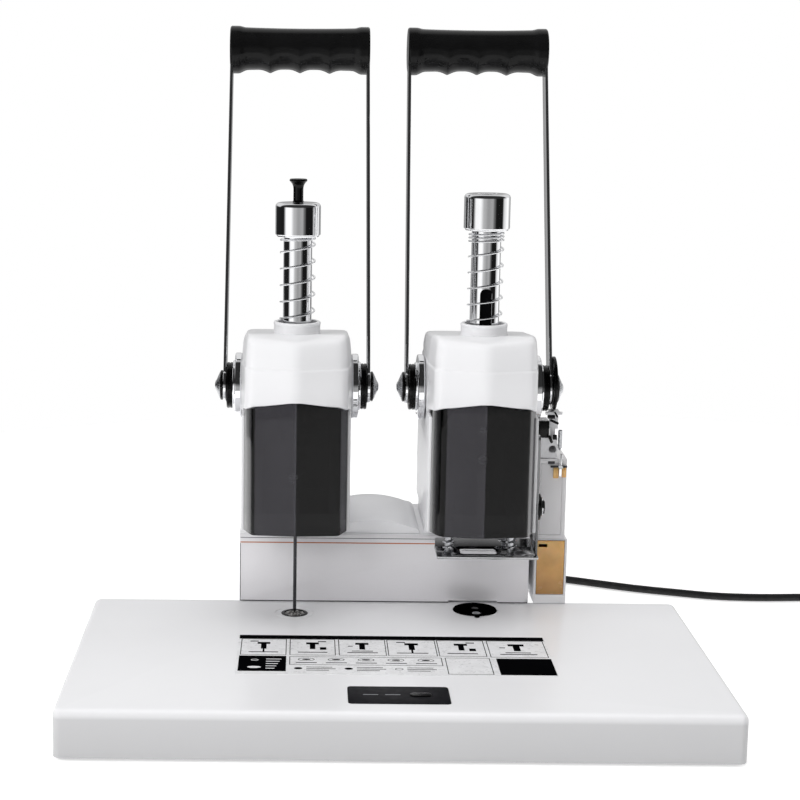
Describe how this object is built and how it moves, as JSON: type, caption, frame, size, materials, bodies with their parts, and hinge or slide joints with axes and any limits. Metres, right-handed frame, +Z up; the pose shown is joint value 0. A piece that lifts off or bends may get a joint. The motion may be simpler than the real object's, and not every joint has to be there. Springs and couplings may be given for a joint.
{
  "type": "document_riveting_machine",
  "caption": "Desk document riveting machine: a drill head and a hot rivet head on one base, each worked by a rack-and-pinion lever, with a tube cutter and a coiled mains cord.",
  "frame": {"origin": "bottom centre of the bounding box of all but the cord, on the table", "axes": "+X to the user's right, +Y to the back, +Z up"},
  "size_m": [0.6693, 0.4418, 0.4209],
  "materials": {
    "white_enamel": "satin",
    "grey_metallic": "satin metallic",
    "dark_plastic": "satin",
    "black_plastic": "gloss",
    "pad_insert": "mottled matte",
    "smoked_acrylic": "gloss, smoked",
    "chrome": "polished",
    "steel": "turned",
    "cast_aluminium": "cast",
    "rubber": "matte",
    "amber_plastic": "translucent"
  },
  "bodies": {
    "machine": {"base_cover": "white_enamel", "rear_housing": "white_enamel", "crowned_cover": "white_enamel", "left_column_casing": "white_enamel", "right_column_casing": "white_enamel", "left_head_shell": "white_enamel", "right_head_shell": "white_enamel", "cutter_housing": "white_enamel", "front_panel": "grey_metallic", "cutter_box": "grey_metallic", "switch_panel": "dark_plastic", "drill_pad_ring": "black_plastic", "cord_gland": "black_plastic", "power_cord": "black_plastic", "power_cord_coil": "black_plastic", "power_plug": "black_plastic", "drill_pad": "pad_insert", "left_front_cover": "smoked_acrylic", "right_front_cover": "smoked_acrylic", "left_return_spring": "chrome", "right_return_spring": "chrome", "strap_bolt": "steel", "left_head_frame": "cast_aluminium", "right_head_frame": "cast_aluminium", "base_floor": "rubber", "housing_floor": "rubber"},
    "left_lever": {"left_pinion": "chrome", "left_outer_hub_nut": "black_plastic", "left_inner_hub_nut": "black_plastic", "left_outer_arm": "chrome", "left_inner_arm": "chrome", "left_grip": "black_plastic"},
    "left_slide": {"left_ram": "chrome", "left_ram_cap": "chrome", "drill_chuck": "steel", "drill_bit": "steel", "drill_motor": "cast_aluminium", "drive_belt": "rubber"},
    "needle_unit": {"clearing_needle": "steel", "needle_knob": "black_plastic"},
    "right_lever": {"right_pinion": "chrome", "right_outer_hub_nut": "black_plastic", "right_inner_hub_nut": "black_plastic", "right_outer_arm": "chrome", "right_inner_arm": "chrome", "right_grip": "black_plastic", "cutter_cam": "black_plastic"},
    "right_slide": {"right_ram": "chrome", "right_ram_cap": "chrome", "heater_block": "cast_aluminium", "rivet_rod": "steel", "press_crosshead": "cast_aluminium", "left_press_spring": "steel", "right_press_spring": "steel"},
    "press_unit": {"press_plate": "chrome"},
    "turret": {"die_turret": "black_plastic", "lower_die": "steel"},
    "button": {"power_button": "dark_plastic"},
    "plunger": {"cutter_plunger": "white_enamel"},
    "tray": {"tube_tray": "amber_plastic"}
  },
  "joints": [
    {"name": "left_handle_turn", "type": "hinge", "parent": "machine", "child": "left_lever", "pos_m": [-0.0622, 0.06807, 0.1812], "axis": [1, 0, 0], "range_deg": [0, 136]},
    {"name": "left_ram_drop", "type": "slide", "parent": "machine", "child": "left_slide", "axis": [0, 0, -1], "range_m": [0, 0.055], "stiffness_N_per_m": 300, "springref_m": -0.08, "deforming": ["left_return_spring"]},
    {"name": "needle_lift", "type": "slide", "parent": "machine", "child": "needle_unit", "axis": [0, 0, 1], "range_m": [0, 0.06]},
    {"name": "right_handle_turn", "type": "hinge", "parent": "machine", "child": "right_lever", "pos_m": [0.0604, 0.06807, 0.1812], "axis": [1, 0, 0], "range_deg": [0, 136]},
    {"name": "right_ram_drop", "type": "slide", "parent": "machine", "child": "right_slide", "axis": [0, 0, -1], "range_m": [0, 0.055], "stiffness_N_per_m": 300, "springref_m": -0.08, "deforming": ["right_return_spring"]},
    {"name": "press_plate_slide", "type": "slide", "parent": "right_slide", "child": "press_unit", "axis": [0, 0, 1], "range_m": [0, 0.016], "deforming": ["left_press_spring", "right_press_spring"]},
    {"name": "turret_turn", "type": "hinge", "parent": "machine", "child": "turret", "pos_m": [0.0604, 0.0482, 0.031], "axis": [0, 0, 1], "range_deg": [0, 180]},
    {"name": "button_press", "type": "slide", "parent": "machine", "child": "button", "axis": [0, 0, -1], "range_m": [0, 0.0012], "stiffness_N_per_m": 400, "springref_m": -0.002},
    {"name": "plunger_drop", "type": "slide", "parent": "machine", "child": "plunger", "axis": [0, 0, -1], "range_m": [0, 0.0054]},
    {"name": "tray_slide", "type": "slide", "parent": "machine", "child": "tray", "axis": [0, -1, 0], "range_m": [0, 0.04]}
  ],
  "couplings": [
    {"joint": "left_ram_drop", "follows": "left_handle_turn", "m_per_rad": 0.023125},
    {"joint": "right_ram_drop", "follows": "right_handle_turn", "m_per_rad": 0.023125},
    {"joint": "press_plate_slide", "follows": "right_handle_turn", "m_per_rad": 0.00664},
    {"joint": "plunger_drop", "follows": "right_handle_turn", "m_per_rad": 0.002228}
  ]
}
